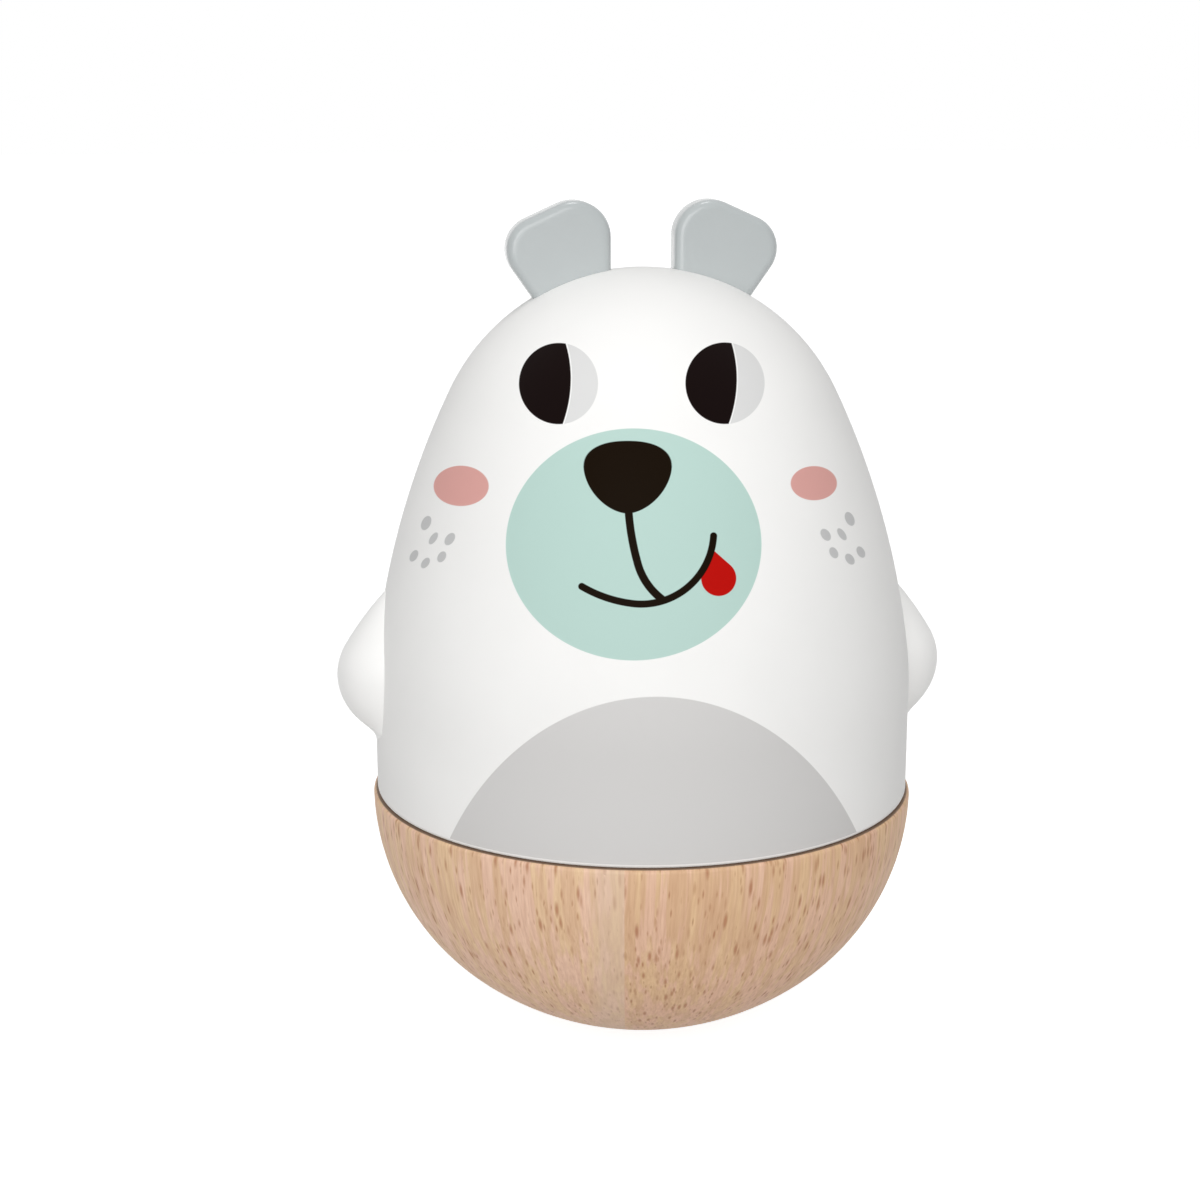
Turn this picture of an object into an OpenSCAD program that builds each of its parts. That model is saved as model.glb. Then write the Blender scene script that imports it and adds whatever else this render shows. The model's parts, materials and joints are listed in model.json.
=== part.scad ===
// Roly poly bear: a weighted beech base that rocks on its round bottom, under a hollow moulded body
// with plate ears and teardrop arms. Millimetres, +Z up, and the face looks towards -Y.
// The origin is the middle of the base's small flat foot, where the toy stands on the table.
// Left and right are as seen from the front.

/* [Body shell] */
// Outer diameter of the shell's straight wall above the seam
shell_d = 81.2; // [74:0.2:86]
// Height of the shell from the seam to the crown
shell_h = 78.6; // [72:0.2:88]
// Thickness of the moulded wall
shell_wall = 2.6; // [2:0.1:3.6]
// Radius of the crown
crown_r = 31.9; // [30:0.1:34]
// Radius of the long flank between the shoulder and the crown
flank_r = 123; // [105:1:145]
// Radius of the shoulder, where the straight wall turns into the flank
shoulder_r = 57.5; // [30:0.5:80]
// Angle that the shoulder turns through, in degrees
shoulder_angle = 7.8; // [5:0.1:10]
// Round on the shell's outer lip at the seam
lip_r = 0.7; // [0.4:0.1:1.4]

/* [Wooden base] */
// How far the base stands proud of the shell's wall at the seam
base_proud = 0.6; // [0.2:0.1:2]
// How much larger the rocking radius is than the base's own radius
rocker_more = 3.1; // [1:0.1:8]
// Diameter of the small flat left under the base where it is parted off, on which the toy comes to rest
foot_d = 5; // [4:0.5:8]
// Radius of the base's side, between the rocking bottom and the seam
base_side_r = 35.9; // [26:0.1:38]
// Round on the base's top edge
base_edge_r = 0.6; // [0.3:0.1:1.4]
// Height of the turned spigot that the shell slips over
spigot_h = 6; // [5:0.5:9]
// Lead-in chamfer on the spigot
spigot_chamfer = 1; // [0.4:0.1:1.6]
// Wood left under the weight pocket
pocket_floor = 11; // [10:0.5:14]

/* [Counterweight] */
// Diameter of the steel weight
weight_d = 42; // [34:0.5:46]
// Height of the steel weight
weight_h = 16; // [10:0.5:20]
// Chamfer on the weight's edges
weight_chamfer = 1.2; // [0.5:0.1:2]
// Diameter of the weight's washer
weight_washer_d = 15; // [12:0.5:20]
// Shank diameter of the weight's wood screw
weight_screw_d = 4.5; // [3.5:0.1:5]
// Depth that the weight's screw bites into the base
weight_screw_bite = 7.5; // [6:0.5:8.5]

/* [Pocket cover] */
// Width of the ledge around the pocket that carries the cover
cover_ledge = 9; // [8:0.2:11]
// Thickness of the cover disc
cover_t = 3; // [2.5:0.1:4]
// Number of screws in the cover
cover_screw_count = 3; // [3:1:6]
// Shank diameter of the cover's wood screws
cover_screw_d = 3; // [2.5:0.1:3.5]
// Depth that a cover screw bites into the base
cover_screw_bite = 9; // [6:0.5:12]

/* [Ears] */
// Thickness of an ear plate
ear_t = 5.4; // [4:0.2:6.6]
// Round on an ear's edges
ear_edge_r = 1.2; // [0.6:0.1:1.8]
// Distance from the centre line to an ear's inner edge
ear_gap = 4.7; // [3.6:0.1:6]
// How far the ears are set back from the middle of the crown
ear_back = 2.2; // [0:0.1:4]
// Height of the ears above the crown
ear_rise = 9.7; // [8:0.1:13]
// Radius of an ear's inner upper corner
ear_inner_r = 5.4; // [4:0.05:7]
// Radius of an ear's outer corner
ear_outer_r = 4.9; // [3.5:0.05:6.5]
// Distance from the inner corner's centre out to the outer corner's
ear_span = 5.1; // [3:0.1:8]
// How far the outer corner's centre lies below the inner corner's
ear_drop = 1.75; // [0:0.05:3]
// Lean of an ear's outer edge from upright, in degrees
ear_flare = 35; // [28:1:42]
// Lean of an ear's tenon from upright, in degrees
ear_tilt = 19; // [16:1:22]
// Width of an ear's tenon
tenon_w = 8; // [6:0.2:9]
// How far the tenon is set in from each face of the ear
tenon_inset = 0.5; // [0.3:0.1:0.8]

/* [Arms] */
// How far an arm stands out from the wall
arm_out = 5.7; // [4.5:0.1:8]
// Radius of an arm's round lower end
arm_ball_r = 8.8; // [8.6:0.1:11]
// Height of that round end's centre above the seam
arm_z = 18.2; // [17:0.2:26]
// Radius of the long curve that tapers an arm upwards
arm_taper_r = 52; // [26:1:60]
// Angle above level at which the taper leaves the round end, in degrees
arm_taper_angle = 31; // [20:1:36]
// Diameter of an arm's peg
arm_peg_d = 8; // [6:0.2:9]

/* [Fixings] */
// Clearance on each side of pieces that slip together
fit = 0.15; // [0.05:0.05:0.3]
// Gap for paint and glue where a limb seats on the shell
seat_gap = 0.05; // [0.02:0.01:0.2]
// Depth of the moulded bosses that the limbs are pulled against
boss_depth = 4; // [3:0.5:6]
// Wall of those bosses around a tenon or a peg
boss_wall = 2.4; // [1.8:0.1:3]
// Shank diameter of the limb screws
limb_screw_d = 2.6; // [2.2:0.1:2.8]
// Depth that a limb screw bites into its limb
limb_screw_bite = 8; // [6:0.5:9]
// Thickness of the washers
washer_t = 1.2; // [0.8:0.1:1.6]

/* [Hidden] */
$fn = 144;
// Facets around a rounded plate's corner and across its rounded edge
plate_fn = 32;
edge_fn = 16;
// How far a cut runs past the face that it opens
overrun = 1;
// How far the rounder of two tangent arcs laps over the other, so that no sliver is left between them
lap = 0.001;
// Head of a screw, as shares of its shank's diameter
head_d_share = 1.9;
head_h_share = 0.6;
tip_share = 0.8;
// Diameter of a limb's washer, as a share of its boss
limb_washer_share = 0.9;
// How far a shank's pilot hole stands off the shank, and how far it runs past the tip
pilot_gap = 0.05;
pilot_spare = 0.8;
// How far a tenon or a peg ends short of its boss, so that the washer draws it tight
draw_gap = 0.3;
// How far a tenon or a peg reaches into its limb
root_depth = 3;
// How deep an ear's outline runs below the crown, and its corners there as a share of the edge round
ear_root = 9;
ear_root_share = 2.2;

// Outline of the body: straight wall, shoulder, flank and crown, each tangent to the next.
// Heights are above the seam, and arc centres are points [radius, height].
wall_r = shell_d / 2;
shoulder_end_r = wall_r - shoulder_r * (1 - cos(shoulder_angle));
flank_c_r = shoulder_end_r - flank_r * cos(shoulder_angle);
flank_lift = (shoulder_r - flank_r) * sin(shoulder_angle);
crown_lift = flank_lift + sqrt(pow(flank_r - crown_r, 2) - pow(flank_c_r, 2));
crown_z = shell_h - crown_r;
wall_h = crown_z - crown_lift;
shoulder_c = [wall_r - shoulder_r, wall_h];
flank_c = [flank_c_r, wall_h + flank_lift];
crown_c = [0, crown_z];
flank_angle = atan2(crown_z - flank_c[1], -flank_c_r);
function shoulder_top(grow) = wall_h + (shoulder_r + grow) * sin(shoulder_angle);
function flank_top(grow) = flank_c[1] + (flank_r + grow) * sin(flank_angle);

// Outline of the base: the flat foot, then the rocking bottom, tangent to a side that stands upright
// at the seam. Heights are above the table.
base_r = wall_r + base_proud;
rocker_r = base_r + rocker_more;
rocker_z = sqrt(pow(rocker_r, 2) - pow(foot_d / 2, 2));
seam_z = rocker_z - sqrt(pow(rocker_r - base_side_r, 2) - pow(base_r - base_side_r, 2));
rocker_c = [0, rocker_z];
base_side_c = [base_r - base_side_r, seam_z];
rocker_top = rocker_z - rocker_r * (rocker_z - seam_z) / (rocker_r - base_side_r);
cavity_r = wall_r - shell_wall;
spigot_r = cavity_r - fit;
spigot_top = seam_z + spigot_h;

// Pocket, weight and cover
pocket_r = weight_d / 2 + fit;
cover_r = pocket_r + cover_ledge;
cover_z = spigot_top - cover_t;
cover_screw_ring_r = pocket_r + cover_ledge / 2;
weight_top = pocket_floor + weight_h;
weight_screw_seat = weight_top + washer_t;

// Ears: corner centres of the outline as points [x, height above the seam]
ear_inner_c = [ear_gap + ear_inner_r, shell_h + ear_rise - ear_inner_r];
ear_outer_c = ear_inner_c + [ear_span, -ear_drop];
ear_root_z = shell_h - ear_root;
ear_root_r = ear_edge_r * ear_root_share;
ear_inner_root_c = [ear_gap + ear_root_r, ear_root_z];
ear_outer_root_c = [
    ear_outer_c[0] + (ear_outer_r - ear_root_r) / cos(ear_flare)
        - (ear_outer_c[1] - ear_root_z) * tan(ear_flare),
    ear_root_z
];
tenon_t = ear_t - 2 * tenon_inset;
ear_boss_r = norm([tenon_w, tenon_t]) / 2 + boss_wall;
ear_boss_end = crown_r - shell_wall - boss_depth;

// Arms: distances out from the body's axis, and the taper's arc about the round end's centre
arm_axis_r = wall_r + arm_out - arm_ball_r;
arm_taper_c = (arm_ball_r - arm_taper_r) * [cos(arm_taper_angle), sin(arm_taper_angle)];
arm_taper_z = arm_ball_r * sin(arm_taper_angle);
arm_tip_z = arm_taper_c[1] + sqrt(pow(arm_taper_r, 2) - pow(arm_taper_c[0], 2));
arm_peg_r = arm_peg_d / 2;
arm_boss_r = arm_peg_r + boss_wall;
arm_boss_end = cavity_r - boss_depth;

// Part of the half plane of an outline, between two heights
module slab(low, high, reach) translate([0, low]) square([reach, high - low]);

// The stretch of a disc between two heights, on the outline's side of the axis
module arc_band(centre, radius, low, high) intersection() {
    translate(centre) circle(radius);
    slab(low, high, shell_d);
}

// The rounder of two tangent arcs: a disc that lies inside its neighbour but for the lap
module lapped_arc(centre, radius, low, high) arc_band(centre, radius + lap, low, high);

// Waste outside a rounded outer corner that points down, for cutting from an outline
module corner_waste(radius, corner) translate(corner) difference() {
    translate([-radius, -overrun]) square([radius + overrun, radius + overrun]);
    translate([-radius, radius]) circle(radius);
}

// Half outline of the body, grown outwards
module body_outline(grow) {
    slab(0, wall_h, wall_r + grow);
    lapped_arc(shoulder_c, shoulder_r + grow, 0, crown_z);
    arc_band(flank_c, flank_r + grow, shoulder_top(grow), flank_top(grow));
    lapped_arc(crown_c, crown_r + grow, crown_z, shell_h + grow + overrun);
}

// The body as a full solid, which the limbs are cut to seat on
module body_solid(grow) translate([0, 0, seam_z]) rotate_extrude() body_outline(grow);

module on_both_sides() {
    children();
    mirror([1, 0, 0]) children();
}

// Frames of the right ear and the right arm: +Z points out through the shell
module at_ear() translate([0, ear_back, seam_z + crown_z]) rotate([0, ear_tilt, 0]) children();
module at_arm() translate([0, 0, seam_z + arm_z]) rotate([0, 90, 0]) children();

// Screw that points down, its head's underside at zero
module pan_screw(shank_d, reach) {
    head_d = shank_d * head_d_share;
    head_h = shank_d * head_h_share;
    tip_h = shank_d * tip_share;
    rotate_extrude() polygon([
        [0, -reach], [shank_d / 2, tip_h - reach], [shank_d / 2, 0], [head_d / 2, 0],
        [head_d / 2, head_h / 2], [head_d / 2 - head_h / 2, head_h], [0, head_h]
    ]);
}

// Countersunk screw that points down, its flat top at zero
module flush_screw(shank_d, reach) {
    head_d = shank_d * head_d_share;
    tip_h = shank_d * tip_share;
    head_h = (head_d - shank_d) / 2;
    rotate_extrude() polygon([
        [0, -reach], [shank_d / 2, tip_h - reach], [shank_d / 2, -head_h], [head_d / 2, 0], [0, 0]
    ]);
}

// Pilot hole for a screw, down from zero
module pilot(shank_d, reach) {
    translate([0, 0, -reach - pilot_spare])
        cylinder(h = reach + pilot_spare + overrun, d = shank_d + 2 * pilot_gap);
}

module washer(outer_d, bore_d) rotate_extrude()
    translate([bore_d / 2, 0]) square([(outer_d - bore_d) / 2, washer_t]);

module at_cover_screws() for (i = [0 : cover_screw_count - 1])
    rotate([0, 0, 90 + i * 360 / cover_screw_count]) translate([cover_screw_ring_r, 0, 0]) children();

module wooden_base() color("burlywood") difference() {
    rotate_extrude() difference() {
        union() {
            arc_band(rocker_c, rocker_r, 0, rocker_top);
            lapped_arc(base_side_c, base_side_r, 0, seam_z);
            slab(seam_z, spigot_top, spigot_r);
        }
        translate([0, seam_z]) mirror([0, 1]) corner_waste(base_edge_r, [base_r, 0]);
        translate([spigot_r, spigot_top]) rotate(45) square(spigot_chamfer * sqrt(2), center = true);
        slab(pocket_floor, spigot_top, pocket_r);
        slab(cover_z, spigot_top + overrun, cover_r + fit);
    }
    translate([0, 0, pocket_floor]) pilot(weight_screw_d, weight_screw_bite);
    at_cover_screws() translate([0, 0, cover_z]) pilot(cover_screw_d, cover_screw_bite);
}

module counterweight() color("slategray") translate([0, 0, pocket_floor]) rotate_extrude() {
    bore_r = weight_screw_d / 2 + fit;
    rim_r = weight_d / 2;
    polygon([
        [bore_r, 0], [rim_r - weight_chamfer, 0], [rim_r, weight_chamfer],
        [rim_r, weight_h - weight_chamfer], [rim_r - weight_chamfer, weight_h], [bore_r, weight_h]
    ]);
}

module weight_washer() color("silver") translate([0, 0, weight_top])
    washer(weight_washer_d, weight_screw_d + 2 * fit);

module weight_screw() color("silver") translate([0, 0, weight_screw_seat])
    pan_screw(weight_screw_d, washer_t + weight_h + weight_screw_bite);

module pocket_cover() color("tan") difference() {
    translate([0, 0, cover_z]) cylinder(h = cover_t, r = cover_r);
    at_cover_screws() {
        head_d = cover_screw_d * head_d_share;
        head_h = (head_d - cover_screw_d) / 2;
        translate([0, 0, cover_z - overrun])
            cylinder(h = cover_t + 2 * overrun, d = cover_screw_d + 2 * fit);
        translate([0, 0, spigot_top - head_h])
            cylinder(h = head_h + overrun, d1 = cover_screw_d + 2 * fit,
                     d2 = head_d + 2 * fit + 2 * overrun);
    }
}

module cover_screws() color("silver") at_cover_screws() translate([0, 0, spigot_top])
    flush_screw(cover_screw_d, cover_t + cover_screw_bite);

module body_shell() color("white") difference() {
    union() {
        translate([0, 0, seam_z]) rotate_extrude() difference() {
            body_outline(0);
            corner_waste(lip_r, [wall_r, 0]);
            slab(-overrun, 0, cavity_r);
            body_outline(-shell_wall);
        }
        intersection() {
            on_both_sides() {
                at_ear() translate([0, 0, ear_boss_end])
                    cylinder(h = boss_depth + shell_wall, r = ear_boss_r);
                at_arm() translate([0, 0, arm_boss_end])
                    cylinder(h = boss_depth + shell_wall, r = arm_boss_r);
            }
            body_solid(-shell_wall / 2);
        }
    }
    on_both_sides() {
        at_ear() translate([-tenon_w / 2 - fit, -tenon_t / 2 - fit, ear_boss_end - overrun])
            cube([tenon_w + 2 * fit, tenon_t + 2 * fit, boss_depth + shell_wall + 2 * overrun]);
        at_arm() translate([0, 0, arm_boss_end - overrun])
            cylinder(h = boss_depth + shell_wall + 2 * overrun, r = arm_peg_r + fit);
    }
}

// Disc with rounded edges, lying level about zero, one corner of an ear
module ear_corner(radius, centre) translate(centre) rotate_extrude($fn = plate_fn) {
    flat_r = radius - ear_edge_r;
    flat_h = ear_t / 2 - ear_edge_r;
    translate([0, -ear_t / 2]) square([flat_r, ear_t]);
    translate([0, -flat_h]) square([radius, 2 * flat_h]);
    for (high = [-flat_h, flat_h]) translate([flat_r, high]) circle(ear_edge_r, $fn = edge_fn);
}

// Right ear: a plate with rounded corners and edges, cut to the crown, on a tenon
module ear() color("lightsteelblue") difference() {
    union() {
        difference() {
            translate([0, ear_back, seam_z]) rotate([90, 0, 0]) hull() {
                ear_corner(ear_inner_r, ear_inner_c);
                ear_corner(ear_outer_r, ear_outer_c);
                ear_corner(ear_root_r, ear_inner_root_c);
                ear_corner(ear_root_r, ear_outer_root_c);
            }
            body_solid(seat_gap);
        }
        at_ear() translate([-tenon_w / 2, -tenon_t / 2, ear_boss_end + draw_gap])
            cube([tenon_w, tenon_t, boss_depth + shell_wall + root_depth - draw_gap]);
    }
    at_ear() translate([0, 0, ear_boss_end]) mirror([0, 0, 1]) pilot(limb_screw_d, limb_screw_bite);
}

module right_ear() ear();
module left_ear() mirror([1, 0, 0]) ear();

module ear_washers() color("silver") on_both_sides() at_ear() translate([0, 0, ear_boss_end - washer_t])
    washer(2 * ear_boss_r * limb_washer_share, limb_screw_d + 2 * fit);

module ear_screws() color("silver") on_both_sides() at_ear() translate([0, 0, ear_boss_end - washer_t])
    mirror([0, 0, 1]) pan_screw(limb_screw_d, washer_t + limb_screw_bite);

// Right arm: a turned drop, its back cut to the wall, on a peg
module arm() color("white") difference() {
    union() {
        difference() {
            translate([arm_axis_r, 0, seam_z + arm_z]) rotate_extrude() {
                lapped_arc([0, 0], arm_ball_r, -arm_ball_r - overrun, arm_ball_r);
                arc_band(arm_taper_c, arm_taper_r, arm_taper_z, arm_tip_z);
            }
            body_solid(seat_gap);
        }
        at_arm() translate([0, 0, arm_boss_end + draw_gap])
            cylinder(h = boss_depth + shell_wall + root_depth - draw_gap, r = arm_peg_r);
    }
    at_arm() translate([0, 0, arm_boss_end]) mirror([0, 0, 1]) pilot(limb_screw_d, limb_screw_bite);
}

module right_arm() arm();
module left_arm() mirror([1, 0, 0]) arm();

module arm_washers() color("silver") on_both_sides() at_arm() translate([0, 0, arm_boss_end - washer_t])
    washer(2 * arm_boss_r * limb_washer_share, limb_screw_d + 2 * fit);

module arm_screws() color("silver") on_both_sides() at_arm() translate([0, 0, arm_boss_end - washer_t])
    mirror([0, 0, 1]) pan_screw(limb_screw_d, washer_t + limb_screw_bite);

wooden_base();
counterweight();
weight_washer();
weight_screw();
pocket_cover();
cover_screws();
body_shell();
left_ear();
right_ear();
ear_washers();
ear_screws();
left_arm();
right_arm();
arm_washers();
arm_screws();
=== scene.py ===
"""Roly poly toy, dressed over its packed frame.

It has a turned beech base, a printed white shell, plate ears and drop arms. Run as a script, it
registers its panel, makes each piece in turn and sets the stage for the picture.
"""

import json
from math import acos, asin, atan2, cos, hypot, pi, radians, sin, sqrt, tan

import bmesh
import bpy
from bpy.props import FloatProperty, FloatVectorProperty, PointerProperty
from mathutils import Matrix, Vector


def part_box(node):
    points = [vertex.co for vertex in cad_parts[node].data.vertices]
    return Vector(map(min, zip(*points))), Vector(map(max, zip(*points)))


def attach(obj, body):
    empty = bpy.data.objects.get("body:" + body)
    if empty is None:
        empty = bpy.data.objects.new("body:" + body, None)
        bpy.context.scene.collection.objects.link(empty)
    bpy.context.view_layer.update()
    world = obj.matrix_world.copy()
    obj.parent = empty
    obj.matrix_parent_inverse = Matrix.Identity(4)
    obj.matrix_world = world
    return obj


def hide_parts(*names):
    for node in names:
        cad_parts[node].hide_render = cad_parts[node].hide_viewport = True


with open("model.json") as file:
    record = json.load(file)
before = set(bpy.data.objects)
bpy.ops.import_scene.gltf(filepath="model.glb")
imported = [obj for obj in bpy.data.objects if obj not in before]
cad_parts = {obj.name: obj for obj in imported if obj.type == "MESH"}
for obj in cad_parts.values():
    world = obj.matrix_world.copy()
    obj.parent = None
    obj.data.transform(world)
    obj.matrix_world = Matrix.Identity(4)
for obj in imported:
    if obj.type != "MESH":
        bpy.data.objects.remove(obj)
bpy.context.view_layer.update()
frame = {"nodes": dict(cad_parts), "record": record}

bl_info = {
    "name": "Roly Poly Toy",
    "version": (1, 0, 0),
    "blender": (4, 5, 0),
    "location": "View3D > Sidebar > Roly Poly",
    "description": "Makes a self-righting toy with a beech base, a printed shell, plate ears and drop arms",
    "category": "Object",
}

MM = 0.001
PER_MM = (1 / MM, 1 / MM, 1 / MM)
SEAM_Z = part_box("body_shell")[0][2]
STEPS_ROUND = 144

# Distances in metres that count as none, and the angle from which an edge stays crisp

MERGE = 1e-6
WELD = 1e-7
CREASE = radians(32)


# Sizes and colours a user would change

def length(name, description, default):
    """A length, given in millimetres and kept in metres."""
    return FloatProperty(
        name=name, description=description, default=default * MM, unit="LENGTH", precision=5
    )


def angle(name, description, default):
    """An angle, given in degrees and kept in radians."""
    return FloatProperty(name=name, description=description, default=radians(default), unit="ROTATION")


def place(name, description, default):
    """A point in metres."""
    return FloatVectorProperty(
        name=name, description=description, default=default, unit="LENGTH", precision=5
    )


def colour(name, description, default):
    """A scene-linear colour."""
    return FloatVectorProperty(
        name=name, description=description, default=default, subtype="COLOR", min=0, max=1
    )


def factor(name, description, default):
    """A plain number."""
    return FloatProperty(name=name, description=description, default=default)


def power(name, description, default):
    """A lamp's power in watts."""
    return FloatProperty(name=name, description=description, default=default, unit="POWER")


class ShellSizes(bpy.types.PropertyGroup):
    """Outline of the hollow body."""
    height: length("Height", "From the seam to the crown", 78.6)
    wall_r: length("Wall radius", "Outer radius of the upright wall above the seam", 40.6)
    wall: length("Wall", "Thickness of the shell", 2.6)
    crown_r: length("Crown radius", "Radius of the round top", 31.9)
    flank_r: length("Flank radius", "Radius of the long side curve", 123)
    shoulder_r: length("Shoulder radius", "Radius of the curve between the wall and the flank", 57.5)
    shoulder_turn: angle("Shoulder turn", "How far the shoulder turns in", 7.8)
    lip_r: length("Lip radius", "Round on the lower outer edge", 0.7)


class BaseSizes(bpy.types.PropertyGroup):
    """Turned half-ball with its spigot and weight pocket."""
    base_r: length("Base radius", "Radius at the seam", 41.2)
    rocker_r: length("Rocker radius", "Radius of the round bottom", 44.3)
    side_r: length("Side radius", "Radius of the curve up to the seam", 35.9)
    foot_d: length("Foot", "Width of the small flat under the middle", 5)
    edge_r: length("Edge radius", "Round on the upper outer edge", 0.6)
    spigot_r: length("Spigot radius", "Radius of the step that goes up into the shell", 37.85)
    spigot_h: length("Spigot height", "Height of that step above the seam", 6)
    spigot_chamfer: length("Spigot chamfer", "Chamfer on the step's upper edge", 1)
    cover_r: length("Cover seat radius", "Radius of the recess for the pocket's cover", 30.15)
    cover_t: length("Cover seat depth", "Depth of that recess", 3)
    pocket_r: length("Pocket radius", "Radius of the weight's pocket", 21.15)
    pocket_floor: length("Pocket floor", "Height of the pocket's floor above the table", 11)


class EarSizes(bpy.types.PropertyGroup):
    """Plate ear on the crown."""
    thickness: length("Thickness", "Thickness of the plate", 5.4)
    edge_r: length("Edge radius", "Round along the plate's edges", 1.2)
    gap: length("Half gap", "From the middle of the head to the ear's inner edge", 4.7)
    back: length("Set back", "How far the ear sits behind the middle of the crown", 2.2)
    rise: length("Rise", "Height of the ear over the crown", 9.7)
    inner_r: length("Inner corner", "Radius of the upper corner next to the middle", 5.4)
    outer_r: length("Outer corner", "Radius of the outer corner", 4.9)
    span: length("Span", "Between the corners' centres, across", 5.1)
    drop: length("Drop", "Between the corners' centres, down", 1.75)
    flare: angle("Flare", "Lean of the outer edge", 35)
    root: length("Root", "How far the plate's outline goes on below the crown", 9)
    root_r: length("Root radius", "Radius at the outline's lower end", 2.64)
    seat_turn: angle("Seat turn", "Where the ear sits round the crown, from the top", 19)
    seat_depth: length("Seat depth", "How far the plate is let into the crown", 2.5)


class ArmSizes(bpy.types.PropertyGroup):
    """Drop-shaped arm on the body's side."""
    out: length("Out", "How far the arm stands out of the wall", 5.7)
    ball_r: length("Ball radius", "Radius of the drop's round part", 8.8)
    ball_z: length("Ball height", "Height of the round part's centre above the seam", 18.2)
    taper_r: length("Taper radius", "Radius of the curve up to the tip", 52)
    taper_turn: angle("Taper turn", "Where that curve leaves the ball", 31)
    fillet_r: length("Fillet radius", "Hollow curve between the ball and the wall below it", 4.2)
    fillet_spread: factor("Fillet spread", "Most that the arm is widened where it runs out on the wall", 1.9)
    seat_depth: length("Seat depth", "How far the arm is let into the wall", 2.4)


class Colours(bpy.types.PropertyGroup):
    """Paints, woods, inks, metals and the stage."""
    shell: colour("Shell", "Satin white of the shell", (0.95, 0.945, 0.93))
    arm: colour("Arm", "Satin white of the arms", (0.95, 0.945, 0.93))
    ear: colour("Ear", "Light grey of the ears", (0.46, 0.493, 0.496))
    wood_light: colour("Light wood", "Pale yellowish bands of the beech", (0.86, 0.62, 0.385))
    wood_mid: colour("Wood", "Main colour of the beech", (0.78, 0.53, 0.34))
    wood_pink: colour("Pink wood", "Pinkish bands of the beech", (0.9, 0.62, 0.47))
    wood_fleck: colour("Fleck", "Short dark flecks of the beech", (0.44, 0.185, 0.09))
    wood_pale: colour("Pale strip", "Greyish strip along the edge of one board", (0.73, 0.56, 0.42))
    # Painted shadow: this colour darkens the rim where the shell's lip sits, in place of the shade in that
    # gap
    seam: colour("Seam line", "Dark line along the base's upper edge", (0.2, 0.125, 0.08))
    eye_dark: colour("Eye, dark side", "Black ink of the eyes", (0.0072, 0.0032, 0.003))
    eye_light: colour("Eye, light side", "Pale grey ink of the eyes", (0.73, 0.73, 0.725))
    muzzle: colour("Muzzle", "Green ink round the nose", (0.497, 0.679, 0.624))
    nose: colour("Nose", "Dark brown ink of the nose and mouth", (0.0085, 0.004, 0.001))
    tongue: colour("Tongue", "Red ink", (0.5, 0.005, 0.003))
    cheek: colour("Cheeks", "Pink ink", (0.735, 0.39, 0.355))
    freckle: colour("Freckles", "Grey ink of the freckles", (0.59, 0.59, 0.59))
    belly: colour("Belly", "Pale grey ink of the belly", (0.665, 0.655, 0.645))
    steel: colour("Steel", "Turned steel of the weight", (0.5, 0.51, 0.52))
    zinc: colour("Zinc", "Bright plate of the screws and washers", (0.7, 0.71, 0.72))
    floor: colour("Floor", "Grey of the floor under its glow", (0.55, 0.55, 0.55))
    backdrop: colour("Backdrop", "White of the floor's glow and of what is behind it", (1, 1, 1))


class PrintSizes(bpy.types.PropertyGroup):
    """Where the face is printed."""
    turn: angle("Turn", "How far the print is turned round the body from the ears' middle", 8.9)
    lean: angle("Lean", "How far up the print's direction leans", 12)
    edge: length("Ink edge", "Width over which an ink fades out", 0.09)


class StageSizes(bpy.types.PropertyGroup):
    """Camera, floor and lamps."""
    camera_at: place("Camera", "Where the camera stands", (-0.05043, -0.32205, 0.14348))
    camera_aim: place("Aim", "The point in the middle of the picture", (-0.00616, 0.00185, 0.06584))
    lens: FloatProperty(name="Lens", description="Focal length", default=66.07, unit="CAMERA")
    clip_start: length("Clip start", "Nearest distance that the camera shows", 10)
    floor: length("Floor", "Width of the floor", 8000)
    floor_lift: factor("Floor lift", "Glow that whitens the floor", 0.86)
    lamp_aim: place("Lamp aim", "The point that both lamps face", (0, 0, 0.06))
    key_at: place("Key lamp", "Where the large lamp hangs", (-0.28, -1.02, 0.32))
    key_width: length("Key width", "Width of the large lamp", 700)
    key_power: power("Key power", "Power of the large lamp", 3.9)
    top_at: place("Top lamp", "Where the lamp overhead hangs", (0, 0.02, 0.75))
    top_width: length("Top width", "Width of the lamp overhead", 160)
    top_power: power("Top power", "Power of the lamp overhead", 0.6)
    dome: factor("Dome", "Strength of the soft light from the front half", 0.93)
    ambient: factor("Ambient", "Strength of the light from the rear half", 0.17)
    dome_turn: angle("Dome turn", "How far the dome's middle stands to the left of the front", 8)
    dome_rise: angle("Dome rise", "How high the dome's middle stands", 21)
    dome_start: factor("Dome start", "Cosine to the dome's middle where its light starts", 0.05)
    dome_full: factor("Dome full", "Cosine to the dome's middle where its light is full", 0.55)


# Outlines, drawn with a pen in the XZ plane

def pen_down(bm, x, z):
    """Starts an outline."""
    return bm.verts.new((x, 0, z))


def line_to(bm, pen, x, z):
    """Draws a straight stretch."""
    end = bmesh.ops.extrude_vert_indiv(bm, verts=[pen])["verts"][0]
    end.co = (x, 0, z)
    return end


def arc_by(bm, pen, centre, turn, steps):
    """Draws an arc about a centre. A positive turn, in radians, goes from +X towards +Z."""
    made = bmesh.ops.spin(
        bm, geom=[pen], cent=(centre[0], 0, centre[1]), axis=(0, -1, 0), angle=turn, steps=steps
    )
    return [part for part in made["geom_last"] if isinstance(part, bmesh.types.BMVert)][0]


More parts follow.
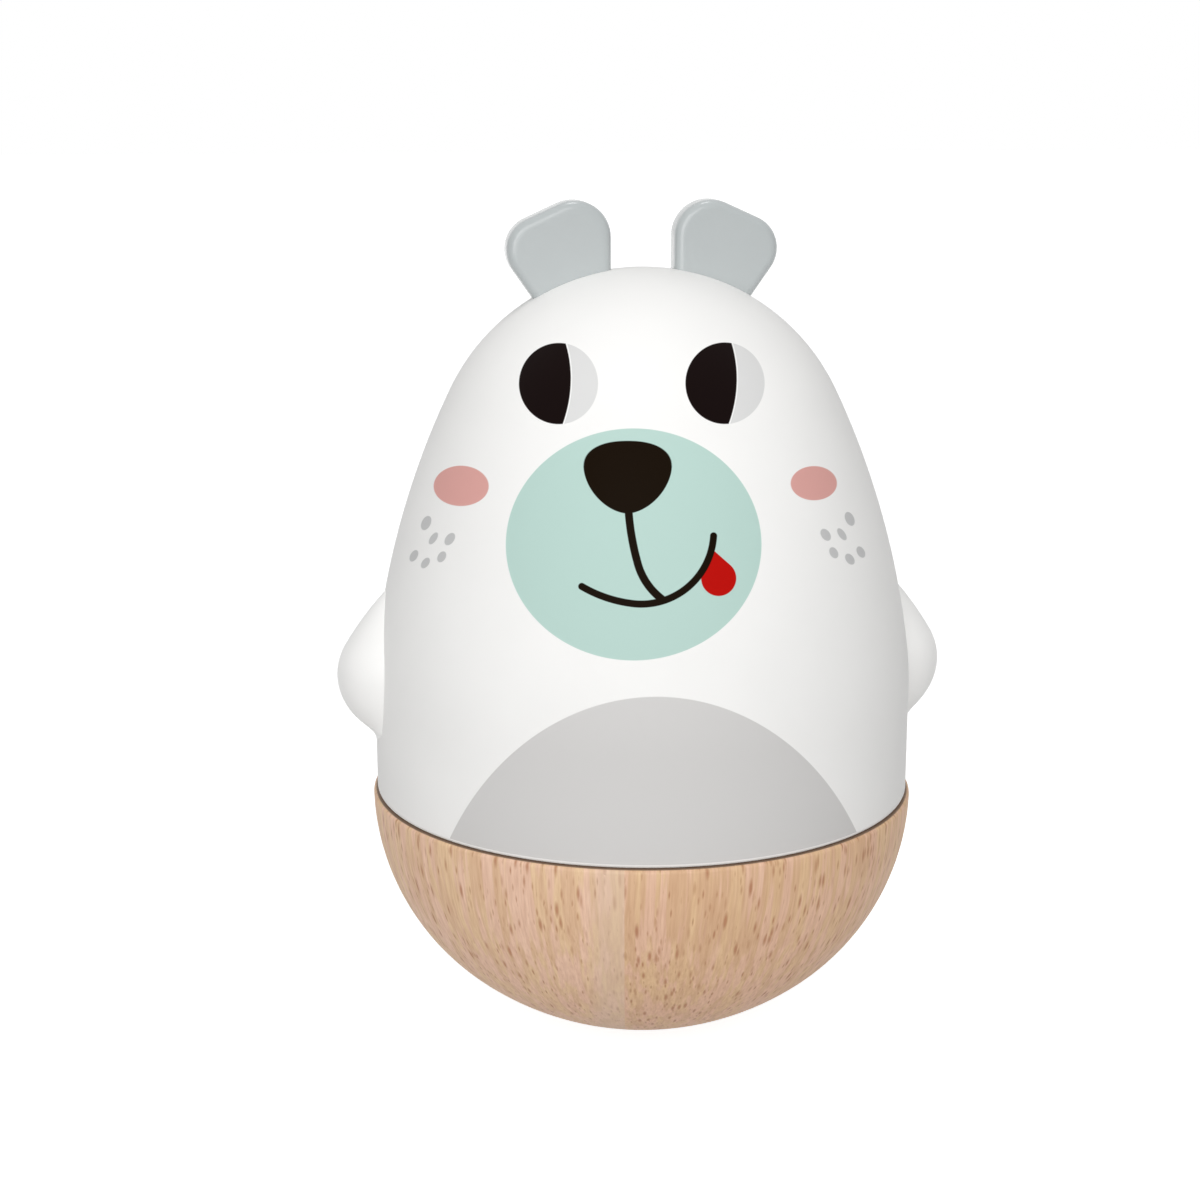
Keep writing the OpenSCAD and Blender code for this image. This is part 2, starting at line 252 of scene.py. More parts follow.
def turn_on_lathe(bm, axis_x=0.0):
    """Turns the drawn outline once round an upright axis into a closed skin."""
    bmesh.ops.spin(
        bm, geom=bm.verts[:] + bm.edges[:], cent=(axis_x, 0, 0), axis=(0, 0, 1),
        angle=2 * pi, steps=STEPS_ROUND, use_merge=True,
    )
    bmesh.ops.remove_doubles(bm, verts=bm.verts, dist=MERGE)
    bmesh.ops.dissolve_degenerate(bm, edges=bm.edges, dist=WELD)
    bmesh.ops.recalc_face_normals(bm, faces=bm.faces)


def cut_flat(bm, point, normal):
    """Cuts off what lies behind a plane and closes the cut."""
    cut = bmesh.ops.bisect_plane(
        bm, geom=bm.verts[:] + bm.edges[:] + bm.faces[:], dist=WELD,
        plane_co=point, plane_no=normal, clear_inner=True,
    )
    rim = [part for part in cut["geom_cut"] if isinstance(part, bmesh.types.BMEdge)]
    bmesh.ops.edgeloop_fill(bm, edges=rim)


def mirror_across(bm):
    """Turns a right-hand piece into the left-hand one."""
    bmesh.ops.scale(bm, vec=(-1, 1, 1), verts=bm.verts)
    bmesh.ops.reverse_faces(bm, faces=bm.faces)


def add_object(name, data):
    """Puts a mesh, a lamp or a camera into the scene."""
    thing = bpy.data.objects.new(name, data)
    bpy.context.scene.collection.objects.link(thing)
    return thing


def add_mesh(bm, name, finish):
    """Makes an object of a shape, in one material."""
    mesh = bpy.data.meshes.new(name)
    bm.to_mesh(mesh)
    bm.free()
    mesh.materials.append(finish)
    return add_object(name, mesh)


def finish_piece(bm, name, node, finish):
    """Makes a piece of a shape, with smooth faces and crisp corners, hangs it under the root body and hides
    the node that it stands in for.
    """
    for face in bm.faces:
        face.smooth = True
    for edge in bm.edges:
        if len(edge.link_faces) == 2 and edge.calc_face_angle(0) > CREASE:
            edge.smooth = False
    piece = add_mesh(bm, name, finish)
    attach(piece, "root")
    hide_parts(node)


def finish_pair(shape, sizes, name, node, finish):
    """Makes a right-hand piece and its mirrored left-hand twin."""
    for side in ("left", "right"):
        bm = shape(sizes, bpy.context.scene.roly_shell)
        if side == "left":
            mirror_across(bm)
        finish_piece(bm, side + name, side + node, finish)


# Nodes and the patterns made of them

class NodeDesk:
    """Places nodes in one tree and wires them."""

    def __init__(self, tree):
        self.tree = tree

    def feed(self, socket, value):
        """Wires a socket's value in, or sets a plain one."""
        if isinstance(value, bpy.types.NodeSocket):
            self.tree.links.new(value, socket)
        else:
            socket.default_value = value

    def feed_all(self, sockets, values):
        """Feeds sockets by name or number."""
        for name, value in values.items():
            self.feed(sockets[name], value)

    def put(self, kind, inputs=None, **settings):
        """Places a shader node, with its settings and its inputs."""
        node = self.tree.nodes.new("ShaderNode" + kind)
        for name, value in settings.items():
            setattr(node, name, value)
        self.feed_all(node.inputs, inputs or {})
        return node

    def math(self, operation, *values):
        """One step of arithmetic."""
        return self.put("Math", dict(enumerate(values)), operation=operation).outputs[0]

    def vector(self, operation, *values):
        """One step of vector arithmetic, as a vector or, for a length or product, as a number."""
        node = self.put("VectorMath", dict(enumerate(values)), operation=operation)
        return node.outputs["Value" if operation in ("LENGTH", "DOT_PRODUCT") else "Vector"]

    def mix(self, share, under, over, blend="MIX"):
        """One colour over another."""
        node = self.put(
            "Mix", {0: share, 6: under, 7: over}, data_type="RGBA", blend_type=blend
        )
        return node.outputs[2]

    def ramp(self, value, low, high, start=0.0, end=1.0):
        """A value stretched from one range to another and held inside it."""
        inputs = {"Value": value, "From Min": low, "From Max": high, "To Min": start, "To Max": end}
        return self.put("MapRange", inputs).outputs["Result"]

    def noise(self, place, scale, detail=2.0, rough=0.5):
        """Soft noise from 0 to 1."""
        inputs = {"Vector": place, "Scale": scale, "Detail": detail, "Roughness": rough}
        return self.put("TexNoise", inputs).outputs["Fac"]

    def mapping(self, place, location=(0, 0, 0), rotation=(0, 0, 0), scale=(1, 1, 1)):
        """A pattern moved, turned and stretched."""
        inputs = {"Vector": place, "Location": location, "Rotation": rotation, "Scale": scale}
        return self.put("Mapping", inputs).outputs["Vector"]

    def axes(self, place):
        """A vector's X, Y and Z."""
        return self.put("SeparateXYZ", {0: place}).outputs

    def join(self, **values):
        """A vector from its X, Y and Z, which are 0 where they aren't given."""
        return self.put("CombineXYZ", values).outputs[0]


def place_group(desk, pattern, **inputs):
    """Places the node group of a pattern, which is made at its first use, and gives its outputs."""
    name = pattern.__name__.replace("_", " ").capitalize()
    tree = bpy.data.node_groups.get(name) or pattern(name)
    return desk.put("Group", inputs, node_tree=tree).outputs


def open_group(name, inputs, outputs):
    """Starts a node group and gives its desk, the sockets that come in and those that go out."""
    tree = bpy.data.node_groups.new(name, "ShaderNodeTree")
    for way, sockets in (("INPUT", inputs), ("OUTPUT", outputs)):
        for label, kind in sockets.items():
            tree.interface.new_socket(label, in_out=way, socket_type="NodeSocket" + kind)
    desk = NodeDesk(tree)
    given = tree.nodes.new("NodeGroupInput").outputs
    result = tree.nodes.new("NodeGroupOutput").inputs
    return desk, given, result


def tint(values):
    """A colour with full alpha."""
    return (*values, 1)


def satin_coat(name):
    """Fine ripple and uneven sheen of a sprayed or moulded satin surface."""
    desk, given, result = open_group(
        name,
        {"Place": "Vector", "Sheen": "Float", "Uneven": "Float"},
        {"Roughness": "Float", "Height": "Float", "Tone": "Float"},
    )
    broad = desk.noise(given["Place"], 55.0, detail=3.0)
    fine = desk.noise(given["Place"], 1400.0)
    spread = desk.math("MULTIPLY_ADD", desk.math("SUBTRACT", broad, 0.5), given["Uneven"], given["Sheen"])
    grit = desk.math("MULTIPLY", desk.math("SUBTRACT", fine, 0.5), given["Uneven"])
    desk.feed_all(result, {
        "Roughness": desk.math("ADD", spread, grit),
        "Height": fine,
        "Tone": desk.ramp(broad, 0.3, 0.7, 0.975, 1.0),
    })
    return desk.tree


# Flecks of the wood: shift of the pattern, flecks per millimetre each way, least and most share of a cell

FLECKS = (
    ((0, 0, 0), (0.95, 0.95, 0.2), 0.16, 0.36),
    ((9, 4, 60), (1.5, 1.5, 0.3), 0.05, 0.32),
)


def wood_grain(name):
    """Fibres along Z with bands, fine lines and short flecks, for a place in millimetres."""
    desk, given, result = open_group(
        name,
        {
            "Place": "Vector", "Light": "Color", "Main": "Color", "Warm": "Color",
            "Fleck": "Color", "Strength": "Float",
        },
        {"Color": "Color", "Roughness": "Float", "Height": "Float"},
    )
    # The fibres sway slowly, then broad bands, warm streaks and fine lines follow them
    sway = desk.put("TexNoise", {"Vector": given["Place"], "Scale": 0.045, "Detail": 1.0})
    lean = desk.vector("SUBTRACT", sway.outputs["Color"], (0.5, 0.5, 0.5))
    lean = desk.vector("MULTIPLY", lean, (1.6, 1.6, 0.0))
    at = desk.vector("ADD", given["Place"], lean)
    bands = desk.noise(desk.mapping(at, scale=(0.5, 0.5, 0.025)), 1.0, detail=2.0, rough=0.6)
    beside = desk.mapping(at, location=(40, 7, 3), scale=(0.7, 0.7, 0.045))
    streaks = desk.noise(beside, 1.0, detail=2.0, rough=0.55)
    lines = desk.noise(desk.mapping(at, scale=(2.6, 2.6, 0.13)), 1.0, detail=3.0, rough=0.65)
    body = desk.mix(desk.ramp(bands, 0.44, 0.56), given["Main"], given["Light"])
    body = desk.mix(desk.ramp(streaks, 0.46, 0.56, 0.0, 0.9), body, given["Warm"])
    body = desk.mix(desk.ramp(lines, 0.3, 0.75, 0.0, 0.42), body, given["Fleck"])
    mark = 0.0
    for shift, scale, least, most in FLECKS:
        cells = desk.put(
            "TexVoronoi",
            {"Vector": desk.mapping(at, location=shift, scale=scale), "Scale": 1.0, "Randomness": 1.0},
            feature="F1",
        )
        wanted = desk.ramp(cells.outputs["Color"], 0.1, 0.9, least, most)
        inside = desk.math("SUBTRACT", cells.outputs["Distance"], wanted)
        mark = desk.math("MAXIMUM", mark, desk.ramp(inside, -0.2, 0.04, 1.0, 0.0))
    mark = desk.math("MULTIPLY", mark, given["Strength"])
    desk.feed_all(result, {
        "Color": desk.mix(mark, body, given["Fleck"]),
        "Roughness": desk.math("MULTIPLY_ADD", lines, 0.16, 0.46),
        "Height": desk.math("MULTIPLY_ADD", mark, -0.6, lines),
    })
    return desk.tree


def ink_ellipse(name):
    """How far a place on the print is from a turned ellipse, in millimetres, below 0 inside."""
    desk, given, result = open_group(
        name,
        {"Place": "Vector", "Centre": "Vector", "Reach": "Vector", "Turn": "Float", "Fullness": "Float"},
        {"Distance": "Float"},
    )
    off = desk.vector("SUBTRACT", given["Place"], given["Centre"])
    turned = desk.put(
        "VectorRotate", {"Vector": off, "Angle": given["Turn"]},
        rotation_type="Z_AXIS", invert=True,
    )
    shares = desk.vector("ABSOLUTE", desk.vector("DIVIDE", turned.outputs["Vector"], given["Reach"]))
    across = desk.axes(shares)
    powers = [desk.math("POWER", across[axis], given["Fullness"]) for axis in ("X", "Y")]
    share = desk.math("POWER", desk.math("ADD", *powers), desk.math("DIVIDE", 1.0, given["Fullness"]))
    reach = desk.axes(given["Reach"])
    least = desk.math("MINIMUM", reach["X"], reach["Y"])
    desk.feed(result["Distance"], desk.math("MULTIPLY", desk.math("SUBTRACT", share, 1.0), least))
    return desk.tree


def ink_arc(name):
    """How far a place on the print is from a stroke along part of a circle, below 0 inside."""
    desk, given, result = open_group(
        name,
        {
            "Place": "Vector", "Centre": "Vector", "Radius": "Float", "Width": "Float",
            "Before": "Vector", "After": "Vector",
        },
        {"Distance": "Float"},
    )
    flat = desk.vector("MULTIPLY", desk.vector("SUBTRACT", given["Place"], given["Centre"]), (1, 1, 0))
    off = desk.math("ABSOLUTE", desk.math("SUBTRACT", desk.vector("LENGTH", flat), given["Radius"]))
    side = desk.math("SUBTRACT", off, desk.math("MULTIPLY", given["Width"], 0.5))
    for end in ("Before", "After"):
        side = desk.math("MAXIMUM", side, desk.vector("DOT_PRODUCT", flat, given[end]))
    desk.feed(result["Distance"], side)
    return desk.tree


# The printed face, in millimetres across and up from the axis at the seam, in the print's leaning plane. An
# ellipse has its centre, its half widths and its turn in degrees. A bent line has the circle of its second
# part, the radius of the wider circle before it, its width, and the angles where it starts, bends and ends.
# The belly's ink stops a little above the seam, and a thin line parts the two sides of each eye.

BELLY = ((2.1, -29.9), (34.5, 45.5))
BELLY_RIM = 0.64
MUZZLE = ((-1.2, 36.2), (17.5, 15.7))
CHEEKS = (
    ((-25.6, 44.3), (4.3, 2.85), -4.5),
    ((24.0, 44.8), (3.5, 2.4), 4.5),
)
EYES = (
    {"eye": ((-11.7, 58.4), (5.9, 5.5), 115), "split": (-27.9, 58.6), "split_r": 18.0},
    {"eye": ((11.4, 58.5), (5.9, 5.5), 68), "split": (-6.2, 59.4), "split_r": 19.2},
)
EYE_LINE = 0.18
FRECKLES = (
    ((-30.9, 39.1), (1.1, 0.75), 58),
    ((-29.6, 36.9), (1.0, 0.5), 51),
    ((-27.0, 36.8), (1.0, 0.65), 49),
    ((-32.8, 34.4), (0.95, 0.6), 51),
    ((-30.8, 33.4), (0.9, 0.55), 47),
    ((-28.2, 34.3), (0.85, 0.6), 52),
    ((29.4, 39.9), (1.05, 0.7), 120),
    ((25.6, 37.6), (0.95, 0.65), 131),
    ((28.1, 37.7), (1.0, 0.5), 129),
    ((26.8, 35.1), (0.85, 0.6), 126),
    ((29.3, 34.2), (0.9, 0.6), 134),
    ((31.1, 35.2), (0.9, 0.6), 128),
)
NOSE = (-2.0, 46.7)
NOSE_HALF = 6.0
NOSE_UP = 3.5
NOSE_UP_FULLNESS = 2.3
NOSE_DOWN = 6.4
NOSE_DOWN_FULLNESS = 1.75
NOSE_LAP = 0.1
NOSE_LINE = {
    "centre": (8.1, 36.0), "radius": 9.0, "wide_r": 36.0, "width": 1.08, "turns": (184.5, 196, 233),
}
MOUTH = {
    "centre": (-0.1, 37.9), "radius": 9.8, "wide_r": 18.0, "width": 0.97, "turns": (-119.8, -96.5, -3.3),
}
TONGUE = (10.4, 31.6)
TONGUE_R = 2.4
TONGUE_TIP = (9.1, 35.9)


class FacePrint:
    """Lays inks over a colour, from shapes in the print's plane."""

    def __init__(self, desk, at, under, front, edge):
        self.desk = desk
        self.at = at
        self.paint = under
        self.front = front
        self.edge = edge

    def ellipse(self, centre, reach, turn=0.0, fullness=2.0):
        """Distance to a turned ellipse, which is more pointed where its fullness is below 2."""
        sizes = {
            "Centre": (*centre, 0), "Reach": (*reach, 1), "Turn": radians(turn), "Fullness": fullness,
        }
        return place_group(self.desk, ink_ellipse, Place=self.at, **sizes)["Distance"]

    def circle(self, centre, radius):
        """Distance to a circle."""
        return self.ellipse(centre, (radius, radius))

    def stroke(self, centre, radius, width, start, end):
        """Distance to a round-ended stroke along a circle, between two angles in degrees."""
        first = radians(start)
        last = radians(end)
        sizes = {
            "Centre": (*centre, 0), "Radius": radius, "Width": width,
            "Before": (sin(first), -cos(first), 0), "After": (-sin(last), cos(last), 0),
        }
        body = place_group(self.desk, ink_arc, Place=self.at, **sizes)["Distance"]
        for turn in (first, last):
            tip = (centre[0] + radius * cos(turn), centre[1] + radius * sin(turn))
            body = self.join(body, self.circle(tip, width / 2))
        return body

    def bent_stroke(self, centre, radius, wide_r, width, turns):
        """Distance to a stroke on a wider circle that goes on, at the second of three angles, on this one."""
        start, bend, end = turns
        shift = radius - wide_r
        wide = (centre[0] + shift * cos(radians(bend)), centre[1] + shift * sin(radians(bend)))
        one = self.stroke(wide, wide_r, width, start, bend)
        return self.join(one, self.stroke(centre, radius, width, bend, end))

    def side(self, normal, point, reach=0.0):
        """Distance past a straight line that lies a reach beyond a point."""
        along = self.desk.vector("DOT_PRODUCT", self.at, (*normal, 0))
        return self.desk.math("SUBTRACT", along, normal[0] * point[0] + normal[1] * point[1] + reach)

    def join(self, one, other):
        """What lies in either shape."""
        return self.desk.math("MINIMUM", one, other)

    def keep(self, one, other):
        """What lies in both shapes."""
        return self.desk.math("MAXIMUM", one, other)

    def without(self, one, other):
        """What lies in the first shape only."""
        return self.keep(one, self.desk.math("MULTIPLY", other, -1.0))

    def drop(self, centre, radius, tip):
        """Distance to a circle drawn out to a tip."""
        away = (centre[0] - tip[0], centre[1] - tip[1])
        reach = hypot(*away)
        axis = atan2(away[1], away[0])
        spread = asin(radius / reach)
        cone = self.side((cos(axis), sin(axis)), tip, (reach ** 2 - radius ** 2) / reach)
        for turn in (axis + spread + pi / 2, axis - spread - pi / 2):
            cone = self.keep(cone, self.side((cos(turn), sin(turn)), tip))
        return self.join(cone, self.circle(centre, radius))

    def ink(self, shape, values):
        """Prints a shape in one colour on the front of the body."""
        mask = self.desk.ramp(shape, -self.edge / 2, self.edge / 2, 1.0, 0.0)
        mask = self.desk.math("MULTIPLY", mask, self.front)
        self.paint = self.desk.mix(mask, self.paint, tint(values))


def print_eyes(face, colours):
    """Eyes that are dark on one side of a curved split and pale on the other, with a thin line between."""
    for parts in EYES:
        eye = face.ellipse(*parts["eye"])
        split = face.circle(parts["split"], parts["split_r"])
        face.ink(face.keep(eye, split), colours.eye_dark)
        beyond = face.desk.math("SUBTRACT", split, EYE_LINE)
        face.ink(face.without(eye, beyond), colours.eye_light)


def print_cheeks(face, colours):
    """Pink cheeks with six freckles under each."""
    for cheek in CHEEKS:
        face.ink(face.ellipse(*cheek), colours.cheek)
    freckles = face.ellipse(*FRECKLES[0])
    for freckle in FRECKLES[1:]:
        freckles = face.join(freckles, face.ellipse(*freckle))
    face.ink(freckles, colours.freckle)


def print_muzzle(face, colours):
    """Muzzle with the nose, the mouth and a tongue at its corner."""
    face.ink(face.ellipse(*MUZZLE), colours.muzzle)
    tongue = face.drop(TONGUE, TONGUE_R, TONGUE_TIP)
    face.ink(face.without(tongue, face.circle(MOUTH["centre"], MOUTH["radius"])), colours.tongue)
    upper = face.ellipse(NOSE, (NOSE_HALF, NOSE_UP), 0.0, NOSE_UP_FULLNESS)
    lower = face.ellipse(NOSE, (NOSE_HALF, NOSE_DOWN), 0.0, NOSE_DOWN_FULLNESS)
    upper = face.keep(upper, face.side((0, -1), NOSE, NOSE_LAP))
    lower = face.keep(lower, face.side((0, 1), NOSE, NOSE_LAP))
    dark = face.join(upper, lower)
    for line in (MOUTH, NOSE_LINE):
        dark = face.join(dark, face.bent_stroke(**line))
    face.ink(dark, colours.nose)


def open_finish(name):
    """Starts a material and gives it, its desk and its shader's inputs."""
    finish = bpy.data.materials.new(name)
    finish.use_nodes = True
    desk = NodeDesk(finish.node_tree)
    shader = finish.node_tree.nodes["Principled BSDF"].inputs
    return finish, desk, shader


def object_place(desk):
    """Where a point is on its object, in metres."""
    return desk.put("TexCoord").outputs["Object"]


def relief(desk, shader, height, distance, strength):
    """Feeds a height into the shader's normal, with the depth of its relief in metres."""
    bump = desk.put("Bump", {"Height": height, "Distance": distance, "Strength": strength})
    desk.feed(shader["Normal"], bump.outputs["Normal"])


def coat_with_satin(desk, shader, at, sheen, uneven):
    """Gives a shader the satin coat and returns the coat's tone."""
    coat = place_group(desk, satin_coat, Place=at, Sheen=sheen, Uneven=uneven)
    desk.feed(shader["Roughness"], coat["Roughness"])
    relief(desk, shader, coat["Height"], distance=0.02 * MM, strength=0.35)
    return coat["Tone"]


def plain_satin(name, values, sheen, varnish=0.0):
    """Satin paint in one colour, with a slightly uneven tone, under a share of varnish."""
    finish, desk, shader = open_finish(name)
    at = object_place(desk)
    tone = coat_with_satin(desk, shader, at, sheen, uneven=0.07)
    desk.feed_all(shader, {
        "Base Color": desk.mix(1.0, tint(values), tone, "MULTIPLY"),
        "Specular IOR Level": 0.25,
        "Coat Weight": varnish,
        "Coat Roughness": 0.2,
    })
    return finish


def printed_shell(colours, sizes):
    """White satin shell with the printed face and belly."""
    finish, desk, shader = open_finish("printed shell")
    at = object_place(desk)
    tone = coat_with_satin(desk, shader, at, sheen=0.45, uneven=0.06)
    white = desk.mix(1.0, tint(colours.shell), tone, "MULTIPLY")
    turned = desk.mapping(at, location=(0, 0, -SEAM_Z / MM), rotation=(0, 0, sizes.turn), scale=PER_MM)
    plane = desk.mapping(turned, rotation=(sizes.lean - pi / 2, 0, 0))
    depth = desk.axes(plane)["Z"]
    facing = desk.put("NewGeometry").outputs["Normal"]
    outside = desk.math("GREATER_THAN", desk.vector("DOT_PRODUCT", facing, at), 0.0)
    front = desk.math("MULTIPLY", desk.math("GREATER_THAN", depth, 0.0), outside)
    face = FacePrint(desk, plane, white, front, sizes.edge / MM)
    up = desk.axes(turned)["Z"]
    above_rim = desk.math("SUBTRACT", BELLY_RIM, up)
    face.ink(face.keep(face.ellipse(*BELLY), above_rim), colours.belly)
    print_eyes(face, colours)
    print_muzzle(face, colours)
    print_cheeks(face, colours)
    desk.feed_all(shader, {"Base Color": face.paint, "Specular IOR Level": 0.035})
    return finish


# The beech, in millimetres, apart from a power, a tint and a share. Its second board lies right of the edge.

GRAIN_HEART = 4.0
GRAIN_SPREAD_POWER = 0.65
BOARD_EDGE = -2.2
BOARD_APART = 90.0
BOARD_TINT = (0.95, 0.92, 0.88)
PALE_START = BOARD_EDGE - 5.5
PALE_FULL = BOARD_EDGE - 3.0
PALE_SHARE = 0.45
# Painted shadow on the rim, under the shell's lip: how far in from the edge it starts, how soft its edge is
# and how far down it reaches
SEAM_SHADOW_INSET = 0.45
SEAM_SHADOW_FADE = 0.15
SEAM_SHADOW_DEPTH = 0.3

# The birch of the pocket's cover, as inputs of the wood grain

BIRCH = {
    "Light": (0.66, 0.5, 0.33, 1),
    "Main": (0.58, 0.42, 0.26, 1),
    "Warm": (0.6, 0.43, 0.28, 1),
    "Fleck": (0.42, 0.27, 0.15, 1),
    "Strength": 0.4,
}


def turned_beech(colours, sizes, turn):
    """Oiled beech of two boards, with grain that draws in down the ball and a painted shadow line on the rim,
    where the shell's lip sits.
    """
    finish, desk, shader = open_finish("turned beech")
    at = object_place(desk)
    place_mm = desk.mapping(at, rotation=(0, 0, turn), scale=PER_MM)
    axes = desk.axes(place_mm)
    base_r = sizes.base_r / MM
    ball_r = sizes.rocker_r / MM
    flat = desk.vector("MULTIPLY", place_mm, (1, 1, 0))
    away = desk.math("MAXIMUM", desk.vector("LENGTH", flat), GRAIN_HEART)
    spread = desk.math("POWER", desk.math("DIVIDE", base_r, away), GRAIN_SPREAD_POWER)
    across = desk.vector("MULTIPLY", flat, desk.join(X=spread, Y=spread))
    climb = desk.math("ARCTAN2", away, desk.math("SUBTRACT", ball_r, axes["Z"]))
    along = desk.join(Z=desk.math("MULTIPLY", climb, ball_r))
    next_board = desk.math("GREATER_THAN", axes["X"], BOARD_EDGE)
    apart = desk.join(X=desk.math("MULTIPLY", next_board, BOARD_APART))
    laid = desk.vector("ADD", desk.vector("ADD", across, along), apart)
    grain = place_group(
        desk, wood_grain, Place=laid, Light=tint(colours.wood_light), Main=tint(colours.wood_mid),
        Warm=tint(colours.wood_pink), Fleck=tint(colours.wood_fleck), Strength=0.8,
    )
    toned = desk.mix(next_board, grain["Color"], tint(BOARD_TINT), "MULTIPLY")
    pale = desk.ramp(axes["X"], PALE_START, PALE_FULL, 0.0, PALE_SHARE)
    pale = desk.math("MULTIPLY", pale, desk.math("SUBTRACT", 1.0, next_board))
    toned = desk.mix(pale, toned, tint(colours.wood_pale))
    # Painted shadow: a dark line on the rim's top, next to the shell, stands for the shade in the gap under
    # the shell's lip
    seam_shadow_r = base_r - SEAM_SHADOW_INSET
    seam = desk.ramp(away, seam_shadow_r, seam_shadow_r + SEAM_SHADOW_FADE, 1.0, 0.0)
    seam = desk.math("MULTIPLY", seam, desk.math("GREATER_THAN", axes["Z"], SEAM_Z / MM - SEAM_SHADOW_DEPTH))
    desk.feed_all(shader, {
        "Base Color": desk.mix(seam, toned, tint(colours.seam)),
        "Roughness": grain["Roughness"],
        "Specular IOR Level": 0.35,
    })
    relief(desk, shader, grain["Height"], distance=0.05 * MM, strength=0.5)
    return finish


def birch_ply():
    """Plain birch face of the pocket's cover."""
    finish, desk, shader = open_finish("birch ply")
    at = object_place(desk)
    place_mm = desk.mapping(at, rotation=(0, pi / 2, 0), scale=PER_MM)
    grain = place_group(desk, wood_grain, Place=place_mm, **BIRCH)
    desk.feed_all(shader, {"Base Color": grain["Color"], "Roughness": grain["Roughness"]})
    relief(desk, shader, grain["Height"], distance=0.04 * MM, strength=0.4)
    return finish


def tool_marks(name):
    """Fine rings round the upright axis and mottling, for metal that was turned or plated."""
    desk, given, result = open_group(
        name,
        {"Place": "Vector", "Pitch": "Float", "Roughness": "Float"},
        {"Tone": "Float", "Roughness": "Float", "Height": "Float"},
    )
    rings = desk.put(
        "TexWave", {"Vector": given["Place"], "Scale": given["Pitch"], "Distortion": 0.4},
        wave_type="RINGS", rings_direction="Z",
    ).outputs["Fac"]
    mottle = desk.noise(given["Place"], 220.0, detail=3.0)
    desk.feed_all(result, {
        "Tone": desk.ramp(desk.math("MULTIPLY_ADD", rings, 0.3, mottle), 0.2, 1.1, 0.82, 1.0),
        "Roughness": desk.math("MULTIPLY_ADD", mottle, 0.18, given["Roughness"]),
        "Height": rings,
    })
    return desk.tree


def bare_metal(name, values, pitch, rough):
    """Turned or plated steel."""
    finish, desk, shader = open_finish(name)
    at = object_place(desk)
    marks = place_group(desk, tool_marks, Place=at, Pitch=pitch, Roughness=rough)
    desk.feed_all(shader, {
        "Base Color": desk.mix(1.0, tint(values), marks["Tone"], "MULTIPLY"),
        "Roughness": marks["Roughness"],
        "Metallic": 1.0,
    })
    relief(desk, shader, marks["Height"], distance=0.01 * MM, strength=0.3)
    return finish


# Shapes of the pieces. A narrow ring inside a plate's rounded edge keeps its shading flat.

PLATE_RING = 0.4 * MM
LEVEL = 1e-4


def shell_curve(sizes, inset):
    """Centres and turns of the body's curves, above the table, and the ends of an outline inset from them."""
    turn = sizes.shoulder_turn
    flank_x = sizes.wall_r - sizes.shoulder_r * (1 - cos(turn)) - sizes.flank_r * cos(turn)
    flank_lift = (sizes.shoulder_r - sizes.flank_r) * sin(turn)
    crown_lift = flank_lift + sqrt((sizes.flank_r - sizes.crown_r) ** 2 - flank_x ** 2)
    crown_z = SEAM_Z + sizes.height - sizes.crown_r
    wall_z = crown_z - crown_lift
    flank_z = wall_z + flank_lift
    return {
        "crown": (0.0, crown_z),
        "flank": (flank_x, flank_z),
        "shoulder": (sizes.wall_r - sizes.shoulder_r, wall_z),
        "crown_turn": pi / 2 - atan2(crown_z - flank_z, -flank_x),
        "flank_turn": atan2(crown_z - flank_z, -flank_x) - turn,
        "shoulder_turn": turn,
        "wall_r": sizes.wall_r - inset,
        "wall_z": wall_z,
        "top": crown_z + sizes.crown_r - inset,
    }


def shell_shape(sizes):
    """Hollow body, turned from its outer outline, the lip and the inner wall."""
    bm = bmesh.new()
    outer = shell_curve(sizes, 0.0)
    inner = shell_curve(sizes, sizes.wall)
    pen = pen_down(bm, 0, outer["top"])
    pen = arc_by(bm, pen, outer["crown"], -outer["crown_turn"], steps=28)
    pen = arc_by(bm, pen, outer["flank"], -outer["flank_turn"], steps=20)
    pen = arc_by(bm, pen, outer["shoulder"], -outer["shoulder_turn"], steps=6)
    pen = line_to(bm, pen, outer["wall_r"], (outer["wall_z"] + SEAM_Z) / 2)
    pen = line_to(bm, pen, outer["wall_r"], SEAM_Z + sizes.lip_r)
    pen = arc_by(bm, pen, (outer["wall_r"] - sizes.lip_r, SEAM_Z + sizes.lip_r), -pi / 2, steps=6)
    pen = line_to(bm, pen, inner["wall_r"], SEAM_Z)
    pen = line_to(bm, pen, inner["wall_r"], inner["wall_z"])
    pen = arc_by(bm, pen, inner["shoulder"], inner["shoulder_turn"], steps=4)
    pen = arc_by(bm, pen, inner["flank"], inner["flank_turn"], steps=12)
    arc_by(bm, pen, inner["crown"], inner["crown_turn"], steps=16)
    turn_on_lathe(bm)
    return bm


